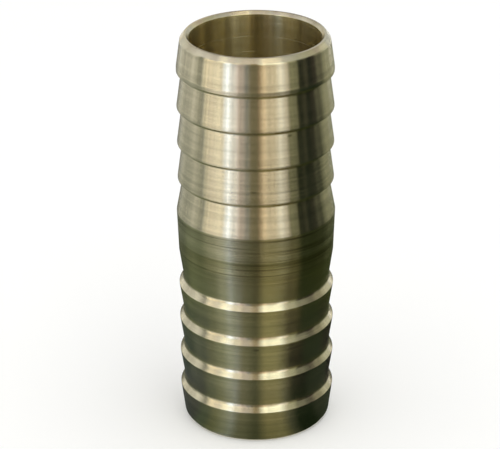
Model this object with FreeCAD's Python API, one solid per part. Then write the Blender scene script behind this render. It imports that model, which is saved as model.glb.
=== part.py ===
import FreeCAD, Part
import math
import os

from FreeCAD import Vector

# A straight hose connector, turned in one piece from round brass bar and bored right through.
# Each end has a row of barbs for a 25 mm bore hose, and a plain band lies between the two rows.
# It stands on its lower end: the origin is at the centre of that end, and +Z runs up its axis.
# Every size is in millimetres.

# Bore and walls
bore_radius = 11.1
groove_wall = 1.35          # metal left under the sharp corner of a groove
barb_height = 0.8           # from that corner out to the barb's edge
band_rise = 0.25            # how far the band's upper edge stands above the barbs' edges
band_draft = 0.28           # how much the band narrows down to its lower edge

# Lengths along the axis
band_length = 7.2
band_cone_length = 5.2      # from the lower end's last groove up to the band
barb_count = 4              # at each end
barb_pitch = 6.4
lower_first_length = 7.0    # from the lower end face to its first groove
upper_first_length = 6.6    # the same at the upper end
barb_land_length = 0.25     # narrow flat along each barb's edge
first_land_length = 0.7     # the same on the upper end's first barb
lower_back_length = 1.1     # the short flank, which the hose catches on
upper_back_length = 0.4

# The nose at each end
mouth_chamfer_width = 0.45
mouth_chamfer_depth = 0.55
end_face_width = 0.35
nose_width = 0.7
nose_length = 0.85

# Two short flats follow each of these rounds. The barbs' edges stay sharp to hold the hose.
lower_groove_round = 0.9
upper_groove_round = 0.4
nose_round = 0.6

# Radii and heights that follow from them
groove_radius = bore_radius + groove_wall
edge_radius = groove_radius + barb_height
band_radius = edge_radius + band_rise
mouth_radius = bore_radius + mouth_chamfer_width
face_radius = mouth_radius + end_face_width
nose_radius = face_radius + nose_width
barbs_length = lower_first_length + (barb_count - 1) * barb_pitch
half_length = barbs_length + band_cone_length + band_length / 2
overall_length = 2 * half_length


def end_corners(first_length, first_land, back_length, groove_round, band_edge_radius):
    """Corners of one end's section, from its bore mouth out and back to the band.

    Each is a radius, a distance from the middle of the part, and the round on that corner.
    """
    corners = [
        (bore_radius, half_length - mouth_chamfer_depth, 0),
        (mouth_radius, half_length, 0),
        (face_radius, half_length, 0),
        (nose_radius, half_length - nose_length, nose_round),
    ]
    for barb in range(barb_count):
        groove = half_length - first_length - barb * barb_pitch
        edge = groove + back_length
        land = first_land if barb == 0 else barb_land_length
        corners.append((edge_radius, edge + land, 0))
        corners.append((edge_radius, edge, 0))
        corners.append((groove_radius, groove, groove_round))
    corners.append((band_edge_radius, band_length / 2, 0))
    return corners


def section_corners():
    """Corners of the whole section: the upper end, then the lower end from the band down."""
    upper = end_corners(
        upper_first_length, first_land_length, upper_back_length, upper_groove_round, band_radius
    )
    lower = end_corners(
        lower_first_length, barb_land_length, lower_back_length, lower_groove_round, band_radius - band_draft
    )
    lower = [(radius, -distance, corner_round) for radius, distance, corner_round in reversed(lower)]
    return [
        (Vector(radius, 0, half_length + distance), corner_round)
        for radius, distance, corner_round in upper + lower
    ]


def corner_round_points(before, corner, after, corner_round):
    """Start, middle and end of the round between two straight runs that meet in a corner."""
    to_before = (before - corner).normalize()
    to_after = (after - corner).normalize()
    half_angle = to_before.getAngle(to_after) / 2
    inward = (to_before + to_after).normalize()
    setback = corner_round / math.tan(half_angle)
    middle_depth = corner_round / math.sin(half_angle) - corner_round
    return [corner + to_before * setback, corner + inward * middle_depth, corner + to_after * setback]


def section_outline(corners):
    """One closed wire through the corners, with two flats wherever a corner has a round."""
    points = []
    for index, (corner, corner_round) in enumerate(corners):
        before = corners[index - 1][0]
        after = corners[(index + 1) % len(corners)][0]
        points += corner_round_points(before, corner, after, corner_round) if corner_round > 0 else [corner]
    return Part.makePolygon(points + points[:1])


def turn_connector():
    """The section turned once round the axis, which leaves the bore open."""
    section = Part.Face(section_outline(section_corners()))
    return section.revolve(Vector(0, 0, 0), Vector(0, 0, 1), 360)


os.makedirs("parts", exist_ok=True)
connector = turn_connector()
connector.exportStep("parts/connector_body.step")
print(f"connector_body: {overall_length:.2f} mm long, {2 * band_radius:.2f} mm over the band")
print(f"volume {connector.Volume:.1f} mm3, solids {len(connector.Solids)}, valid {connector.isValid()}")
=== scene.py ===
import math

import bmesh
import bpy
from mathutils import Matrix, Vector


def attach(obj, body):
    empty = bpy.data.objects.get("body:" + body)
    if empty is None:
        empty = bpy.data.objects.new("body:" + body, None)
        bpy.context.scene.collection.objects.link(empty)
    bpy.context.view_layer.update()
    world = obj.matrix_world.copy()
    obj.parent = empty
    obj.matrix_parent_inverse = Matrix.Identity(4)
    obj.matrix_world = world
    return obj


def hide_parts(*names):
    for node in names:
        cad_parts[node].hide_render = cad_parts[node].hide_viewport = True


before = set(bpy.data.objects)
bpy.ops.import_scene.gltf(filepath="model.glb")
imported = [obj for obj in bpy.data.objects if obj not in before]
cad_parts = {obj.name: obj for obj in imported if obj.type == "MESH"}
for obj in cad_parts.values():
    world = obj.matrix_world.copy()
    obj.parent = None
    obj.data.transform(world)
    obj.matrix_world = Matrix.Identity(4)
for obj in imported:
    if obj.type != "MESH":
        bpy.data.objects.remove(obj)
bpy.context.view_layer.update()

scene = bpy.context.scene
scene.view_settings.view_transform = "Standard"

# Camera: in front, on the -Y side, a little above the connector, with a long lens.
cameraValues = {
    "lens": 182.33,
    "sensor": 36.0,
    "distance": 0.43348,       # metres, from the middle of the connector
    "aimHeight": 0.035,
    "elevation": 24.10,        # degrees above level
    "roll": -0.2712,
    "shiftX": -0.01213,
    "shiftY": 0.0040,
    "clipStart": 0.01,
    "clipEnd": 20.0,
}


def placeCamera(values):
    data = bpy.data.cameras.new("productCamera")
    data.lens = values["lens"]
    data.sensor_width = values["sensor"]
    data.shift_x = values["shiftX"]
    data.shift_y = values["shiftY"]
    data.clip_start = values["clipStart"]
    data.clip_end = values["clipEnd"]
    camera = bpy.data.objects.new("productCamera", data)
    scene.collection.objects.link(camera)
    tilt = math.radians(values["elevation"])
    aim = Vector((0, 0, values["aimHeight"]))
    stand = aim + values["distance"] * Vector((0, -math.cos(tilt), math.sin(tilt)))
    look = Matrix.Rotation(math.pi / 2 - tilt, 4, "X") @ Matrix.Rotation(math.radians(values["roll"]), 4, "Z")
    camera.matrix_world = Matrix.Translation(stand) @ look
    scene.camera = camera


placeCamera(cameraValues)
print("camera placed")


# Connector: its section is drawn once, its corners are rounded, and it is spun round the axis. Metres.
connectorValues = {
    "boreRadius": 0.0111,
    "grooveRadius": 0.01245,
    "edgeRadius": 0.01325,
    "bandTopRadius": 0.0135,
    "bandFootRadius": 0.01322,
    "halfLength": 0.035,
    "bandLength": 0.0072,
    "barbCount": 4,
    "barbPitch": 0.0064,
    "upperFirstBarb": 0.0066,   # from the end face to the first groove
    "lowerFirstBarb": 0.0070,
    "land": 0.00025,            # narrow flat along each barb's edge
    "firstLand": 0.0007,        # the same on the upper end's first barb
    "landDrop": 0.00001,        # how far the land leans in, away from the barb's back
    "upperBack": 0.0004,
    "lowerBack": 0.0011,
    "mouthWidth": 0.00045,
    "mouthDepth": 0.00055,
    "faceWidth": 0.00035,
    "noseWidth": 0.0007,
    "noseLength": 0.00085,
    "upperGrooveRound": 0.0004,
    "lowerGrooveRound": 0.0009,
    "edgeRound": 0.00006,
    "bandRound": 0.0002,
    "noseRound": 0.0006,
    "rimRound": 0.00008,
    "wideRound": 0.0003,        # a round wider than this gets more flats
    "wideFlats": 8,             # flats in a wide round, and below it in a narrow one
    "narrowFlats": 4,
    "holdLoop": 0.00003,        # loops this close to every round keep the straight runs straight
    "shortestHeld": 0.00018,    # a run shorter than this gets no such loops
    "longestRun": 0.0015,
    "spinSteps": 256,
    "boreMargin": 0.000045,     # faces no further out than this belong to the bore
    "ledgeSlope": 0.15,         # faces that look up more than this are ledges, and stay bright
}
finishOrder = ["turned", "band", "lower", "bore"]       # the order of the material slots


def endCorners(values, firstBarb, firstLand, back, grooveRound, bandRadius):
    # radius, distance from the middle and rounding of each corner, from the bore's mouth back to the band
    half = values["halfLength"]
    mouth = values["boreRadius"] + values["mouthWidth"]
    face = mouth + values["faceWidth"]
    corners = [
        (values["boreRadius"], half - values["mouthDepth"], values["rimRound"]),
        (mouth, half, values["rimRound"]),
        (face, half, values["rimRound"]),
        (face + values["noseWidth"], half - values["noseLength"], values["noseRound"]),
    ]
    for barb in range(values["barbCount"]):
        groove = half - firstBarb - barb * values["barbPitch"]
        edge = groove + back
        land = firstLand if barb == 0 else values["land"]
        corners.append((values["edgeRadius"] - values["landDrop"], edge + land, values["edgeRound"]))
        corners.append((values["edgeRadius"], edge, values["edgeRound"]))
        corners.append((values["grooveRadius"], groove, grooveRound))
    corners.append((bandRadius, values["bandLength"] / 2, values["bandRound"]))
    return corners


def drawSection(values):
    middle = values["halfLength"]
    upper = endCorners(values, values["upperFirstBarb"], values["firstLand"], values["upperBack"],
                       values["upperGrooveRound"], values["bandTopRadius"])
    lower = endCorners(values, values["lowerFirstBarb"], values["land"], values["lowerBack"],
                       values["lowerGrooveRound"], values["bandFootRadius"])
    corners = [(r, middle + d, size) for r, d, size in upper]
    corners += [(r, middle - d, size) for r, d, size in reversed(lower)]
    section = bmesh.new()
    points = [section.verts.new((r, 0, z)) for r, z, size in corners]
    section.faces.new(points)
    for point, (r, z, size) in zip(points, corners):
        before, after = [edge.other_vert(point).co - point.co for edge in point.link_edges]
        setback = size / math.tan(before.angle(after) / 2)
        bmesh.ops.bevel(section, geom=[point], offset=setback, offset_type="OFFSET", affect="VERTICES",
                        segments=values["wideFlats" if size > values["wideRound"] else "narrowFlats"],
                        profile=0.5, material=-1)
    bmesh.ops.delete(section, geom=section.faces[:], context="FACES_ONLY")
    hold = values["holdLoop"]
    for edge in [e for e in section.edges if e.calc_length() > values["shortestHeld"]]:
        for point in list(edge.verts):
            bmesh.utils.edge_split(edge, point, hold / edge.calc_length())
    for edge in [e for e in section.edges if e.calc_length() > values["longestRun"]]:
        bmesh.ops.subdivide_edges(section, edges=[edge], cuts=int(edge.calc_length() / values["longestRun"]))
    return section


def chooseFinish(face, values):
    place = face.calc_center_median()
    height = place.z - values["halfLength"]
    if math.hypot(place.x, place.y) < values["boreRadius"] + values["boreMargin"]:
        return "bore"
    if abs(height) < values["bandLength"] / 2:
        return "band"
    # below the band, faces that look down or only a little up get the lower finish, the copy of the brass that
    # carries painted shade; the ledges keep the bright finish
    if height < 0 and face.normal.z < values["ledgeSlope"]:
        return "lower"
    return "turned"


def turnConnector(values):
    turned = drawSection(values)
    print("section drawn:", len(turned.edges), "edges")
    bmesh.ops.spin(turned, geom=turned.verts[:] + turned.edges[:], cent=(0, 0, 0), axis=(0, 0, 1),
                   dvec=(0, 0, 0), angle=2 * math.pi, steps=values["spinSteps"], use_merge=True,
                   use_normal_flip=False, use_duplicate=False)
    bmesh.ops.remove_doubles(turned, verts=turned.verts[:], dist=1e-7)
    bmesh.ops.recalc_face_normals(turned, faces=turned.faces[:])
    for face in turned.faces:
        face.smooth = True
        face.material_index = finishOrder.index(chooseFinish(face, values))
    mesh = bpy.data.meshes.new("turnedConnector")
    turned.to_mesh(mesh)
    turned.free()
    piece = bpy.data.objects.new("turnedConnector", mesh)
    scene.collection.objects.link(piece)
    return piece


connector = turnConnector(connectorValues)
print("connector turned:", len(connector.data.polygons), "faces")


# Helpers that the materials and node groups below are built with.
def addSocket(group, name, inOut, kind, value=None):
    socket = group.interface.new_socket(name=name, in_out=inOut, socket_type=kind)
    if value is not None:
        socket.default_value = value


def addNode(tree, kind, **settings):
    node = tree.nodes.new(kind)
    for name, value in settings.items():
        if name in node.inputs:
            node.inputs[name].default_value = value
        else:
            setattr(node, name, value)
    return node


def feed(tree, value, socket):
    # a socket is set to a value, or linked where the value is another node's output
    if isinstance(value, bpy.types.NodeSocket):
        tree.links.new(value, socket)
    else:
        socket.default_value = value


def addMath(tree, operation, first, second):
    node = addNode(tree, "ShaderNodeMath", operation=operation)
    for socket, value in zip(node.inputs, (first, second)):
        feed(tree, value, socket)
    return node.outputs["Value"]


def addRange(tree, value, low, high, start=0.0, end=1.0):
    node = addNode(tree, "ShaderNodeMapRange")
    names = ("Value", "From Min", "From Max", "To Min", "To Max")
    for name, number in zip(names, (value, low, high, start, end)):
        feed(tree, number, node.inputs[name])
    return node.outputs["Result"]


def addMix(tree, factor, first, second, blend="MIX"):
    node = addNode(tree, "ShaderNodeMix", data_type="RGBA", blend_type=blend)
    for name, value in (("Factor", factor), ("A", first), ("B", second)):
        feed(tree, value, node.inputs[name])
    return node.outputs["Result"]


def addPlace(tree, stretch=None):
    # object coordinates, multiplied along each axis where a pattern is stretched
    place = addNode(tree, "ShaderNodeTexCoord").outputs["Object"]
    if stretch is None:
        return place
    node = addNode(tree, "ShaderNodeVectorMath", operation="MULTIPLY")
    tree.links.new(place, node.inputs[0])
    feed(tree, stretch, node.inputs[1])
    return node.outputs["Vector"]


def addNoise(tree, place, values):
    node = addNode(tree, "ShaderNodeTexNoise", **values)
    tree.links.new(place, node.inputs["Vector"])
    return node.outputs["Fac"]


# Node groups that more than one of the brass finishes uses.
turningValues = {
    "breaks": 25.0,                 # per metre round the connector
    "fine": {"Scale": 1.0, "Detail": 4.0, "Roughness": 0.7},
    "broad": {"Scale": 0.28, "Detail": 2.0, "Roughness": 0.5},
    "scoreStart": 0.46,             # rings below this are dark scores
    "scoreFull": 0.36,
    "roughRings": (0.3, 0.7),
    "roughSpread": 0.03,
    "ringHeight": 0.00002,
}


def makeTurningLines(values):
    # rings left by the tool: noise that changes quickly up the axis and hardly at all round it
    group = bpy.data.node_groups.new("turningLines", "ShaderNodeTree")
    addSocket(group, "Rings Per Metre", "INPUT", "NodeSocketFloat", 3000.0)
    addSocket(group, "Scores", "INPUT", "NodeSocketFloat", 0.0)
    addSocket(group, "Rings", "OUTPUT", "NodeSocketFloat")
    addSocket(group, "Broad Rings", "OUTPUT", "NodeSocketFloat")
    addSocket(group, "Scored", "OUTPUT", "NodeSocketFloat")
    inputs = addNode(group, "NodeGroupInput")
    outputs = addNode(group, "NodeGroupOutput")
    stretch = addNode(group, "ShaderNodeCombineXYZ", X=values["breaks"], Y=values["breaks"])
    group.links.new(inputs.outputs["Rings Per Metre"], stretch.inputs["Z"])
    place = addPlace(group, stretch.outputs["Vector"])
    rings = addNoise(group, place, values["fine"])
    scored = addRange(group, rings, values["scoreStart"], values["scoreFull"], 0.0, inputs.outputs["Scores"])
    group.links.new(rings, outputs.inputs["Rings"])
    group.links.new(addNoise(group, place, values["broad"]), outputs.inputs["Broad Rings"])
    group.links.new(scored, outputs.inputs["Scored"])
    return group


markValues = {
    "cells": (160, 160, 380),       # per metre along each axis, with one nick at most in each
    "nickStart": 0.10,
    "nickFull": 0.05,
    "bareCells": 0.72,              # share of the cells that have none
    "nickDepth": 0.45,
    "clouds": {"Scale": 170.0, "Detail": 5.0, "Roughness": 0.6},
    "cloudRange": (0.45, 0.75),
    "colour": (0.16, 0.14, 0.06),   # what nicks, scores and stains turn the brass to
}


def makeHandlingMarks(values):
    # small nicks at random places, and blotches where handling has dulled the brass
    group = bpy.data.node_groups.new("handlingMarks", "ShaderNodeTree")
    addSocket(group, "Stain", "INPUT", "NodeSocketFloat", 0.1)
    addSocket(group, "Marks", "OUTPUT", "NodeSocketFloat")
    inputs = addNode(group, "NodeGroupInput")
    outputs = addNode(group, "NodeGroupOutput")
    cells = addNode(group, "ShaderNodeTexVoronoi", Scale=1.0, Randomness=1.0)
    group.links.new(addPlace(group, values["cells"]), cells.inputs["Vector"])
    near = addRange(group, cells.outputs["Distance"], values["nickStart"], values["nickFull"])
    chance = addNode(group, "ShaderNodeSeparateColor")
    group.links.new(cells.outputs["Color"], chance.inputs["Color"])
    some = addMath(group, "GREATER_THAN", chance.outputs["Red"], values["bareCells"])
    nicks = addMath(group, "MULTIPLY", addMath(group, "MULTIPLY", near, some), values["nickDepth"])
    clouds = addNoise(group, addPlace(group), values["clouds"])
    blotches = addRange(group, clouds, *values["cloudRange"], 0.0, inputs.outputs["Stain"])
    group.links.new(addMath(group, "ADD", blotches, nicks), outputs.inputs["Marks"])
    return group


# Darkening by height: a height in metres, and what is left of the brass colour there. On the lower cones it is
# painted shade; on the band it is a darker tone with two dark rings.
wearAndShadeValues = {
    # the lower cones, darker towards the foot, as painted shade
    "lower": [(0.0, (0.70, 0.72, 0.66)), (0.0032, (0.70, 0.72, 0.68)), (0.0045, (0.86, 0.86, 0.84)),
              (0.0105, (0.94, 0.94, 0.98)), (0.0150, (1.0, 1.0, 1.0)), (0.0245, (1.0, 1.0, 1.0)),
              (0.0270, (0.90, 0.92, 0.94)), (0.0314, (0.84, 0.84, 0.84))],
    # the band, with two dark rings low down
    "band": [(0.0314, (0.68, 0.68, 0.60)), (0.0330, (0.67, 0.66, 0.58)), (0.0333, (0.60, 0.60, 0.49)),
             (0.0339, (0.62, 0.62, 0.52)), (0.0343, (0.84, 0.84, 0.84)), (0.0360, (0.84, 0.84, 0.84)),
             (0.0370, (0.75, 0.75, 0.74)), (0.0377, (0.77, 0.77, 0.76)), (0.0381, (0.80, 0.79, 0.79)),
             (0.0386, (0.84, 0.83, 0.83))],
}


def makeWearAndShadeByHeight(values):
    # the colour is multiplied by one ramp up the lower cones, which paints shade on them, and by another up the
    # band
    group = bpy.data.node_groups.new("wearAndShadeByHeight", "ShaderNodeTree")
    addSocket(group, "Colour", "INPUT", "NodeSocketColor")
    addSocket(group, "Worn And Shaded Colour", "OUTPUT", "NodeSocketColor")
    inputs = addNode(group, "NodeGroupInput")
    outputs = addNode(group, "NodeGroupOutput")
    height = addNode(group, "ShaderNodeSeparateXYZ")
    group.links.new(addPlace(group), height.inputs["Vector"])
    shares = []
    for name in ("lower", "band"):
        stops = values[name]
        low, high = stops[0][0], stops[-1][0]
        ramp = addNode(group, "ShaderNodeValToRGB")
        while len(ramp.color_ramp.elements) < len(stops):
            ramp.color_ramp.elements.new(0.5)
        for element, (level, share) in zip(ramp.color_ramp.elements, stops):
            element.position = (level - low) / (high - low)
            element.color = (*share, 1)
        group.links.new(addRange(group, height.outputs["Z"], low, high), ramp.inputs["Fac"])
        shares.append(ramp.outputs["Color"])
    onBand = addMath(group, "GREATER_THAN", height.outputs["Z"], values["band"][0][0])
    wornAndShaded = addMix(group, 1.0, inputs.outputs["Colour"], addMix(group, onBand, *shares), "MULTIPLY")
    group.links.new(wornAndShaded, outputs.inputs["Worn And Shaded Colour"])
    return group


turningLines = makeTurningLines(turningValues)
handlingMarks = makeHandlingMarks(markValues)
wearAndShadeByHeight = makeWearAndShadeByHeight(wearAndShadeValues)
print("node groups made")

finishValues = {
    # the bright cones and ledges
    "turned": {"bright": (0.82, 0.71, 0.48), "dull": (0.70, 0.61, 0.41), "roughness": 0.20, "anisotropy": 1.0,
               "ringDepth": 0.5, "rings": 3200.0, "streaks": (0.36, 0.60), "stain": 0.10, "scores": 0.08},
    # the plain band, dulled by handling
    "band": {"bright": (0.88, 0.80, 0.53), "dull": (0.68, 0.63, 0.40), "roughness": 0.22, "anisotropy": 1.0,
             "ringDepth": 0.7, "rings": 2200.0, "streaks": (0.40, 0.58), "stain": 0.20, "scores": 0.60,
             "wornAndShaded": True},
    # the lower cones that look down: a copy of the brass with a darker dull colour, which the height ramp
    # darkens further as painted shade
    "lower": {"bright": (0.82, 0.73, 0.46), "dull": (0.66, 0.60, 0.37), "roughness": 0.20, "anisotropy": 1.0,
              "ringDepth": 0.5, "rings": 2800.0, "streaks": (0.34, 0.66), "stain": 0.16, "scores": 0.12,
              "wornAndShaded": True},
    # the bore keeps a brown film, in streaks about 2 mm wide along its length
    "bore": {"bright": (0.95, 0.83, 0.47), "dull": (0.88, 0.75, 0.40), "roughness": 0.25, "anisotropy": 1.0,
             "ringDepth": 0.05, "rings": 2600.0, "streaks": (0.30, 0.70), "stain": 0.12, "scores": 0.0,
             "film": {"stretch": (420, 420, 14), "noise": {"Scale": 1.0, "Detail": 2.0, "Roughness": 0.6},
                      "range": (0.40, 0.62), "most": 0.40}},
}


def makeBrass(name, values):
    material = bpy.data.materials.new(name)
    material.use_nodes = True
    tree = material.node_tree
    shader = tree.nodes["Principled BSDF"]
    shader.inputs["Metallic"].default_value = 1.0
    shader.inputs["Anisotropic"].default_value = values["anisotropy"]
    shader.inputs["Anisotropic Rotation"].default_value = 0.25     # a quarter turn, so that the grain runs round
    grain = addNode(tree, "ShaderNodeTangent", direction_type="RADIAL", axis="Z")
    tree.links.new(grain.outputs["Tangent"], shader.inputs["Tangent"])
    lines = addNode(tree, "ShaderNodeGroup", node_tree=turningLines)
    lines.inputs["Rings Per Metre"].default_value = values["rings"]
    lines.inputs["Scores"].default_value = values["scores"]
    marks = addNode(tree, "ShaderNodeGroup", node_tree=handlingMarks)
    marks.inputs["Stain"].default_value = values["stain"]

    streaks = addRange(tree, lines.outputs["Broad Rings"], *values["streaks"])
    colour = addMix(tree, streaks, (*values["dull"], 1), (*values["bright"], 1))
    # the height ramp: painted shade on the lower cones, and a darker tone with dark rings on the band
    if "wornAndShaded" in values:
        wearAndShade = addNode(tree, "ShaderNodeGroup", node_tree=wearAndShadeByHeight)
        tree.links.new(colour, wearAndShade.inputs["Colour"])
        colour = wearAndShade.outputs["Worn And Shaded Colour"]
    stain = addMath(tree, "ADD", marks.outputs["Marks"], lines.outputs["Scored"])
    if "film" in values:
        film = values["film"]
        streaks = addNoise(tree, addPlace(tree, film["stretch"]), film["noise"])
        stain = addMath(tree, "ADD", stain, addRange(tree, streaks, *film["range"], 0.0, film["most"]))
    colour = addMix(tree, stain, colour, (*markValues["colour"], 1))
    tree.links.new(colour, shader.inputs["Base Color"])

    spread = turningValues["roughSpread"]
    rough = addRange(tree, lines.outputs["Rings"], *turningValues["roughRings"],
                     values["roughness"] - spread, values["roughness"] + spread)
    tree.links.new(rough, shader.inputs["Roughness"])
    bump = addNode(tree, "ShaderNodeBump", Strength=values["ringDepth"], Distance=turningValues["ringHeight"])
    tree.links.new(lines.outputs["Rings"], bump.inputs["Height"])
    tree.links.new(bump.outputs["Normal"], shader.inputs["Normal"])
    return material


for name in finishOrder:
    connector.data.materials.append(makeBrass(name + "Brass", finishValues[name]))

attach(connector, "root")
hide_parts("connector_body")
print("brass finishes made")


# Studio: a pale floor under two softboxes, and cards all round that only the metal mirrors.
floorValues = {
    "reach": 4.0,                   # metres from the middle to each edge
    "colour": (0.90, 0.90, 0.895),
    "roughness": 0.6,
    "backdropLift": 0.13,           # what the camera and mirror rays see on top of the light
}


def layFloor(values):
    sheet = bmesh.new()
    bmesh.ops.create_grid(sheet, x_segments=1, y_segments=1, size=values["reach"])
    mesh = bpy.data.meshes.new("paleFloor")
    sheet.to_mesh(mesh)
    sheet.free()
    floor = bpy.data.objects.new("paleFloor", mesh)
    scene.collection.objects.link(floor)
    material = bpy.data.materials.new("paleFloor")
    material.use_nodes = True
    tree = material.node_tree
    shader = tree.nodes["Principled BSDF"]
    shader.inputs["Base Color"].default_value = (*values["colour"], 1)
    shader.inputs["Roughness"].default_value = values["roughness"]
    shader.inputs["Specular IOR Level"].default_value = 0.0
    # the camera, mirror and glass rays see the sheet a little brighter, as a white backdrop
    rays = addNode(tree, "ShaderNodeLightPath")
    seen = addMath(tree, "MAXIMUM", rays.outputs["Is Camera Ray"], rays.outputs["Is Glossy Ray"])
    seen = addMath(tree, "MAXIMUM", seen, rays.outputs["Is Transmission Ray"])
    lift = addMath(tree, "MULTIPLY", seen, values["backdropLift"])
    shader.inputs["Emission Color"].default_value = (1, 1, 1, 1)
    tree.links.new(lift, shader.inputs["Emission Strength"])
    mesh.materials.append(material)


softboxValues = {
    "height": 0.9,
    # name: left, right, front and back edges as shares of the height, then radiance and colour
    "boxes": {
        "rightSoftbox": (0.14, 0.52, -1.1, 0.2, 1.45, (1.0, 1.0, 0.92)),
        "leftSoftbox": (-0.53, -0.35, -1.1, 0.2, 1.2, (1.0, 1.0, 0.95)),
    },
}


def hangSoftboxes(values):
    high = values["height"]
    for name, (left, right, front, back, radiance, colour) in values["boxes"].items():
        lamp = bpy.data.lights.new(name, "AREA")
        lamp.shape = "RECTANGLE"
        lamp.size = (right - left) * high
        lamp.size_y = (back - front) * high
        lamp.color = colour
        lamp.energy = radiance * math.pi * lamp.size * lamp.size_y
        place = bpy.data.objects.new(name, lamp)
        place.location = ((left + right) / 2 * high, (front + back) / 2 * high, high)
        place.visible_glossy = False
        scene.collection.objects.link(place)


glowValues = {
    "steps": 360,                   # round the connector, in each strip and ring
    "cloth": {"Scale": 75.0, "Detail": 3.0, "Roughness": 0.6},
    "clothRange": (0.3, 0.7),
}


def makeHungCloth(values):
    # the glow is painted on the mesh, and folds vary it from side to side as in a hung cloth
    group = bpy.data.node_groups.new("hungCloth", "ShaderNodeTree")
    addSocket(group, "Folds", "INPUT", "NodeSocketFloat", 0.0)
    addSocket(group, "Glow", "OUTPUT", "NodeSocketColor")
    inputs = addNode(group, "NodeGroupInput")
    outputs = addNode(group, "NodeGroupOutput")
    paint = addNode(group, "ShaderNodeAttribute", attribute_name="glow")
    cloth = addNoise(group, addPlace(group, (1, 1, 0)), values["cloth"])
    least = addMath(group, "SUBTRACT", 1.0, inputs.outputs["Folds"])
    most = addMath(group, "ADD", 1.0, inputs.outputs["Folds"])
    folded = addNode(group, "ShaderNodeVectorMath", operation="SCALE")
    group.links.new(paint.outputs["Color"], folded.inputs["Vector"])
    group.links.new(addRange(group, cloth, *values["clothRange"], least, most), folded.inputs["Scale"])
    group.links.new(folded.outputs["Vector"], outputs.inputs["Glow"])
    return group


hungCloth = makeHungCloth(glowValues)


def makeGlow(name, folds):
    material = bpy.data.materials.new(name)
    material.use_nodes = True
    tree = material.node_tree
    tree.nodes.remove(tree.nodes["Principled BSDF"])
    glow = addNode(tree, "ShaderNodeEmission", Strength=1.0)
    tree.links.new(glow.outputs["Emission"], tree.nodes["Material Output"].inputs["Surface"])
    cloth = addNode(tree, "ShaderNodeGroup", node_tree=hungCloth)
    cloth.inputs["Folds"].default_value = folds
    tree.links.new(cloth.outputs["Glow"], glow.inputs["Color"])
    return material


def mirrorOnly(name, shape, folds=0.0):
    # only mirror rays meet these, so the floor's light and shadow stay plain
    mesh = bpy.data.meshes.new(name)
    shape.to_mesh(mesh)
    shape.free()
    mesh.materials.append(makeGlow(name, folds))
    sheet = bpy.data.objects.new(name, mesh)
    scene.collection.objects.link(sheet)
    sheet.visible_camera = False
    sheet.visible_diffuse = False
    sheet.visible_shadow = False


def colourAt(angle, cards, blur):
    # each card's colour holds from the card before it up to its own angle, and runs into the next over the blur
    ends = [card[0] for card in cards]
    colours = [Vector(card[1]) for card in cards]
    number = next((i for i, end in enumerate(ends) if angle <= end), len(cards) - 1)
    start, end = (ends[number - 1] if number else -180), ends[number]
    reach = min(blur, end - start) / 2
    here = colours[number]
    if angle > end - reach:
        there, share = colours[(number + 1) % len(cards)], 0.5 * (1 - (end - angle) / reach)
    elif angle < start + reach:
        there, share = colours[number - 1], 0.5 * (1 - (angle - start) / reach)
    else:
        return here
    return here.lerp(there, share)


def spinGlow(name, ends, cards, blur, folds):
    # a line through points, given as radius and height, is spun right round and painted
    shape = bmesh.new()
    points = [shape.verts.new((0, radius, height)) for radius, height in ends]
    sides = [shape.edges.new(pair) for pair in zip(points, points[1:])]
    bmesh.ops.spin(shape, geom=points + sides, cent=(0, 0, 0), axis=(0, 0, 1), dvec=(0, 0, 0),
                   angle=2 * math.pi, steps=glowValues["steps"], use_merge=True, use_normal_flip=False,
                   use_duplicate=False)
    paint = shape.verts.layers.float_color.new("glow")
    for point in shape.verts:
        angle = math.degrees(math.atan2(point.co.x, -point.co.y))
        point[paint] = (*colourAt(angle, cards, blur), 1)
    mirrorOnly(name, shape, folds)


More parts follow.
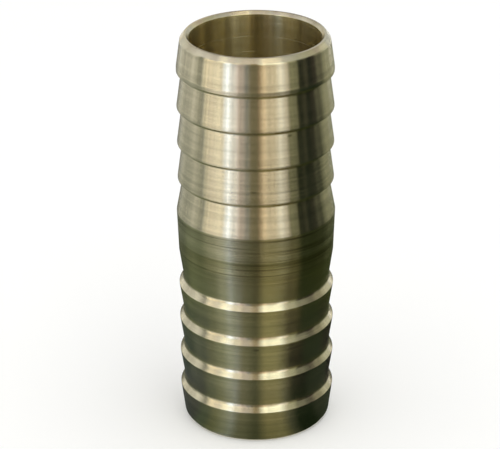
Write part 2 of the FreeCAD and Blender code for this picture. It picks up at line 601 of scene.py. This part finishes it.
cardValues = {
    "radius": 0.32,
    "aim": 0.035,                   # the height that the strips' angles are measured from
    "lowest": 0.0005,               # no strip reaches further down
    "folds": 0.6,
    # strips all round, with their low and high edge in degrees up, and the blur between cards. Each card ends
    # at an angle from the camera, in degrees, where the next one starts. The first starts behind, at -180.
    "strips": {
        "wall": (-3, 30, 2, [
            (-150, (0.72, 0.72, 0.67)), (-92, (0.67, 0.71, 0.74)), (-89, (0.50, 0.54, 0.50)),
            (-82, (0.15, 0.17, 0.15)), (-78, (0.55, 0.56, 0.48)), (-70, (1.55, 1.48, 1.25)),
            (-62, (1.04, 0.98, 0.83)), (-46, (0.84, 0.81, 0.71)), (-35, (1.33, 1.64, 2.36)),
            (-27, (0.60, 0.67, 0.90)), (-21, (0.81, 0.72, 0.84)), (-15, (0.60, 0.56, 0.63)),
            (-10, (0.19, 0.24, 0.32)), (3, (0.15, 0.14, 0.10)), (8, (0.35, 0.25, 0.16)),
            (14, (1.09, 0.90, 0.68)), (31, (0.86, 0.80, 0.69)), (42, (1.38, 1.40, 1.44)),
            (48, (1.05, 1.01, 0.94)), (62, (0.32, 0.34, 0.24)), (72, (0.02, 0.02, 0.01)),
            (79, (0.08, 0.08, 0.06)), (87, (0.01, 0.01, 0.01)), (95, (0.05, 0.04, 0.04)),
            (112, (0.24, 0.25, 0.20)), (119, (0.46, 0.49, 0.41)), (136, (0.64, 0.68, 0.61)),
            (180, (0.55, 0.60, 0.64))]),
        "foot": (-14, -3, 6, [
            (-130, (1.65, 1.67, 1.68)), (-84, (0.96, 0.95, 0.94)), (-62, (0.68, 0.72, 0.94)),
            (-40, (2.05, 2.10, 2.12)), (-26, (3.19, 3.29, 3.56)), (-8, (0.97, 0.96, 0.98)),
            (6, (0.42, 0.39, 0.29)), (28, (1.96, 1.82, 1.68)), (46, (1.02, 1.15, 1.32)),
            (110, (0.01, 0.01, 0.01)), (135, (0.23, 0.26, 0.20)), (180, (2.26, 2.28, 2.29))]),
        "head": (30, 50, 8, [
            (-128, (0.25, 0.20, 0.20)), (-61, (0.73, 0.77, 0.87)), (-44, (1.70, 1.82, 1.73)),
            (-27, (1.10, 1.08, 0.94)), (-8, (0.65, 0.65, 0.64)), (6, (0.22, 0.17, 0.04)),
            (46, (1.67, 1.90, 1.83)), (112, (0.47, 0.51, 0.43)), (180, (0.58, 0.54, 0.56))]),
    },
}


def standCards(values):
    radius = values["radius"]
    for name, (low, high, blur, cards) in values["strips"].items():
        heights = [values["aim"] + radius * math.tan(math.radians(up)) for up in (low, high)]
        ends = [(radius, max(height, values["lowest"])) for height in heights]
        spinGlow(name, ends, cards, blur, values["folds"])


tableValues = {
    "height": 0.0002,
    # rings round the connector's foot, with their radii and the blur between cards, cut as the strips are
    "rings": {
        "footTable": ((0, 0.0001, 0.022), 10, [
            (-66, (0.06, 0.07, 0.08)), (-50, (0.09, 0.12, 0.10)), (-38, (0.16, 0.18, 0.12)),
            (-29, (0.24, 0.27, 0.24)), (-23, (0.26, 0.30, 0.34)), (-8, (0.14, 0.15, 0.11)),
            (5, (0.08, 0.09, 0.06)), (29, (0.22, 0.21, 0.12)), (38, (0.08, 0.09, 0.07)),
            (66, (0.01, 0.02, 0.01)), (110, (0.03, 0.04, 0.03)), (180, (0.01, 0.01, 0.01))]),
        "innerTable": ((0.022, 0.042), 12, [
            (-100, (0.04, 0.06, 0.06)), (-70, (0.08, 0.10, 0.10)), (-56, (0.13, 0.15, 0.12)),
            (-42, (0.19, 0.22, 0.17)), (-30, (0.28, 0.32, 0.29)), (-23, (0.27, 0.31, 0.35)),
            (-9, (0.16, 0.17, 0.13)), (5, (0.09, 0.10, 0.07)), (30, (0.24, 0.24, 0.14)),
            (40, (0.12, 0.12, 0.07)), (66, (0.01, 0.01, 0.01)), (110, (0.02, 0.03, 0.02)),
            (180, (0.01, 0.01, 0.01))]),
        "middleTable": ((0.042, 0.11), 12, [
            (-146, (0.02, 0.03, 0.01)), (-120, (0.08, 0.10, 0.06)), (-56, (0.14, 0.17, 0.10)),
            (-40, (0.33, 0.36, 0.33)), (-34, (0.42, 0.48, 0.64)), (-22, (0.16, 0.17, 0.15)),
            (-4, (0.11, 0.11, 0.07)), (8, (0.08, 0.07, 0.04)), (42, (0.25, 0.23, 0.11)),
            (62, (0.15, 0.14, 0.07)), (180, (0.03, 0.04, 0.01))]),
        "outerTable": ((0.11, 0.33), 16, [
            (-150, (0.21, 0.22, 0.21)), (-128, (0.40, 0.43, 0.41)), (-70, (0.28, 0.32, 0.31)),
            (-40, (0.71, 0.71, 0.75)), (-20, (0.35, 0.36, 0.40)), (5, (0.12, 0.13, 0.09)),
            (45, (0.03, 0.03, 0.01)), (115, (0.01, 0.02, 0.01)), (180, (0.23, 0.25, 0.18))]),
    },
}


def layTable(values):
    for name, (radii, blur, cards) in values["rings"].items():
        spinGlow(name, [(radius, values["height"]) for radius in radii], cards, blur, 0.0)


overheadValues = {
    "height": 0.9,
    # name: left, right, front and back edges as shares of the height, then colour
    "panels": {
        "farLeftFront": (-1.7, -0.7, -1.7, -0.48, (2.73, 2.71, 2.85)),
        "farLeftBack": (-1.7, -0.7, -0.48, 1.7, (0.52, 0.48, 0.61)),
        "leftFront": (-0.7, -0.36, -1.7, -0.48, (0.89, 1.00, 1.23)),
        "leftNear": (-0.7, -0.36, -0.48, -0.2, (0.33, 0.29, 0.45)),
        "middleFront": (-0.36, 0.14, -1.7, -0.48, (1.04, 0.98, 1.01)),
        "middleNear": (-0.36, 0.14, -0.48, -0.2, (0.28, 0.36, 0.46)),
        "middleTop": (-0.36, 0.14, -0.2, 0.05, (0.63, 0.48, 0.17)),
        "rightFront": (0.14, 0.5, -1.7, -0.48, (1.74, 1.64, 1.50)),
        "rightNear": (0.14, 0.5, -0.48, 0.05, (0.10, 0.01, 0.01)),
        "farRightFront": (0.5, 1.7, -1.7, -0.48, (1.99, 1.88, 1.85)),
        "farRightBack": (0.5, 1.7, -0.48, 1.7, (0.62, 0.67, 0.80)),
        "topBack": (-0.7, 0.5, 0.05, 1.7, (0.01, 0.01, 0.01)),
    },
}


def hangPanels(values):
    high = values["height"]
    shape = bmesh.new()
    paint = shape.verts.layers.float_color.new("glow")
    for left, right, front, back, colour in values["panels"].values():
        middle = Matrix.Translation(((left + right) / 2 * high, (front + back) / 2 * high, high))
        reach = Matrix.Diagonal(((right - left) / 2 * high, (back - front) / 2 * high, 1, 1))
        panel = bmesh.ops.create_grid(shape, x_segments=1, y_segments=1, size=1, matrix=middle @ reach)
        for corner in panel["verts"]:
            corner[paint] = (*colour, 1)
    mirrorOnly("overhead", shape)


worldValues = {"colour": (1, 1, 1), "strength": 0.85}


def lightWorld(values):
    world = bpy.data.worlds.new("softDaylight")
    world.use_nodes = True
    background = world.node_tree.nodes["Background"]
    background.inputs["Color"].default_value = (*values["colour"], 1)
    background.inputs["Strength"].default_value = values["strength"]
    scene.world = world


layFloor(floorValues)
hangSoftboxes(softboxValues)
lightWorld(worldValues)
print("floor and lamps set")
standCards(cardValues)
layTable(tableValues)
hangPanels(overheadValues)
print("cards, table rings and panels set")
